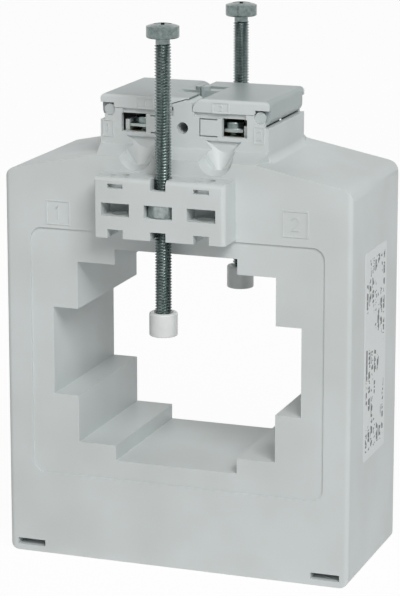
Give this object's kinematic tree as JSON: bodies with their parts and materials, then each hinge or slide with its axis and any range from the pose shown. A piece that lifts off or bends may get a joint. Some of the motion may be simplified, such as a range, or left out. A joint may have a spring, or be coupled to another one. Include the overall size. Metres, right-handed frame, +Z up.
{
  "type": "window current transformer",
  "caption": "Moulded box housing with a stepped busbar window, long clamp screws on both faces and a terminal neck on top under hinged covers.",
  "frame": {"origin": "middle of the underside of the housing, on the surface it stands on", "axes": "+Z up along the clamp screws, front face towards -Y, +X to the right seen from the front, the busbar passes along Y"},
  "size_m": [0.0881, 0.0558, 0.1343],
  "materials": {
    "case": "fine moulded matt, light grey",
    "cover": "fine moulded matt, light grey",
    "zinc": "bright zinc plate on cut threads",
    "nut_zinc": "bright zinc plate",
    "cap": "smooth light grey polyamide",
    "brass": "nickel-washed brass",
    "terminal_zinc": "bright zinc plate",
    "core_steel": "rolled strip edges",
    "core_wrap": "dark moulded case",
    "copper": "enamelled copper wire",
    "label": "printed pale film"
  },
  "bodies": {
    "case": {"front_shell": "case", "rear_shell": "case", "terminal_neck_front": "case", "terminal_neck_rear": "case", "clamp_block_front": "case", "clamp_block_rear": "case", "clamp_nut_front": "nut_zinc", "clamp_nut_rear": "nut_zinc", "terminal_bar_left": "brass", "terminal_bar_right": "brass", "core": "core_steel", "core_case_front": "core_wrap", "core_case_rear": "core_wrap", "winding": "copper", "lead_left": "copper", "lead_right": "copper", "rating_label": "label"},
    "cover_left": {"cover_left": "cover"},
    "cover_right": {"cover_right": "cover"},
    "cap_front": {"screw_cap_front": "cap"},
    "cap_rear": {"screw_cap_rear": "cap"},
    "clamp_screw_front": {"clamp_screw_front": "zinc"},
    "clamp_screw_rear": {"clamp_screw_rear": "zinc"},
    "plate_left_front": {"terminal_plate_left_front": "terminal_zinc"},
    "terminal_screw_left_front": {"terminal_screw_left_front": "terminal_zinc"},
    "plate_left_rear": {"terminal_plate_left_rear": "terminal_zinc"},
    "terminal_screw_left_rear": {"terminal_screw_left_rear": "terminal_zinc"},
    "plate_right_front": {"terminal_plate_right_front": "terminal_zinc"},
    "terminal_screw_right_front": {"terminal_screw_right_front": "terminal_zinc"},
    "plate_right_rear": {"terminal_plate_right_rear": "terminal_zinc"},
    "terminal_screw_right_rear": {"terminal_screw_right_rear": "terminal_zinc"}
  },
  "joints": [
    {"name": "cover_right_hinge", "type": "hinge", "parent": "case", "child": "cover_right", "pos_m": [0.01905, 0, 0.1114], "axis": [0, 1, 0], "range_deg": [0, 85]},
    {"name": "cover_left_hinge", "type": "hinge", "parent": "case", "child": "cover_left", "pos_m": [-0.01905, 0, 0.1114], "axis": [0, -1, 0], "range_deg": [0, 85]},
    {"name": "clamp_front_travel", "type": "slide", "parent": "case", "child": "cap_front", "axis": [0, 0, 1], "range_m": [-0.0331, 0.0176]},
    {"name": "clamp_front_spin", "type": "hinge", "parent": "cap_front", "child": "clamp_screw_front", "pos_m": [-0.0014, -0.02395, 0.1], "axis": [0, 0, 1], "range_deg": [-17040, 9070]},
    {"name": "clamp_rear_travel", "type": "slide", "parent": "case", "child": "cap_rear", "axis": [0, 0, 1], "range_m": [-0.0326, 0.0162]},
    {"name": "clamp_rear_spin", "type": "hinge", "parent": "cap_rear", "child": "clamp_screw_rear", "pos_m": [0.0014, 0.02395, 0.1], "axis": [0, 0, 1], "range_deg": [-16780, 8350]},
    {"name": "plate_left_front_travel", "type": "slide", "parent": "case", "child": "plate_left_front", "axis": [0, 0, 1], "range_m": [-0.0008, 0.0021]},
    {"name": "terminal_left_front_spin", "type": "hinge", "parent": "plate_left_front", "child": "terminal_screw_left_front", "pos_m": [-0.0112, -0.0093, 0.107], "axis": [0, 0, 1], "range_deg": [-415, 1085]},
    {"name": "plate_left_rear_travel", "type": "slide", "parent": "case", "child": "plate_left_rear", "axis": [0, 0, 1], "range_m": [-0.0008, 0.0021]},
    {"name": "terminal_left_rear_spin", "type": "hinge", "parent": "plate_left_rear", "child": "terminal_screw_left_rear", "pos_m": [-0.0112, 0.0093, 0.107], "axis": [0, 0, 1], "range_deg": [-415, 1085]},
    {"name": "plate_right_front_travel", "type": "slide", "parent": "case", "child": "plate_right_front", "axis": [0, 0, 1], "range_m": [-0.0008, 0.0021]},
    {"name": "terminal_right_front_spin", "type": "hinge", "parent": "plate_right_front", "child": "terminal_screw_right_front", "pos_m": [0.0112, -0.0093, 0.107], "axis": [0, 0, 1], "range_deg": [-415, 1085]},
    {"name": "plate_right_rear_travel", "type": "slide", "parent": "case", "child": "plate_right_rear", "axis": [0, 0, 1], "range_m": [-0.0008, 0.0021]},
    {"name": "terminal_right_rear_spin", "type": "hinge", "parent": "plate_right_rear", "child": "terminal_screw_right_rear", "pos_m": [0.0112, 0.0093, 0.107], "axis": [0, 0, 1], "range_deg": [-415, 1085]}
  ],
  "couplings": [
    {"joint": "clamp_front_spin", "follows": "clamp_front_travel", "rad_per_m": 8976},
    {"joint": "clamp_rear_spin", "follows": "clamp_rear_travel", "rad_per_m": 8976},
    {"joint": "terminal_left_front_spin", "follows": "plate_left_front_travel", "rad_per_m": 8976},
    {"joint": "terminal_left_rear_spin", "follows": "plate_left_rear_travel", "rad_per_m": 8976},
    {"joint": "terminal_right_front_spin", "follows": "plate_right_front_travel", "rad_per_m": 8976},
    {"joint": "terminal_right_rear_spin", "follows": "plate_right_rear_travel", "rad_per_m": 8976}
  ]
}
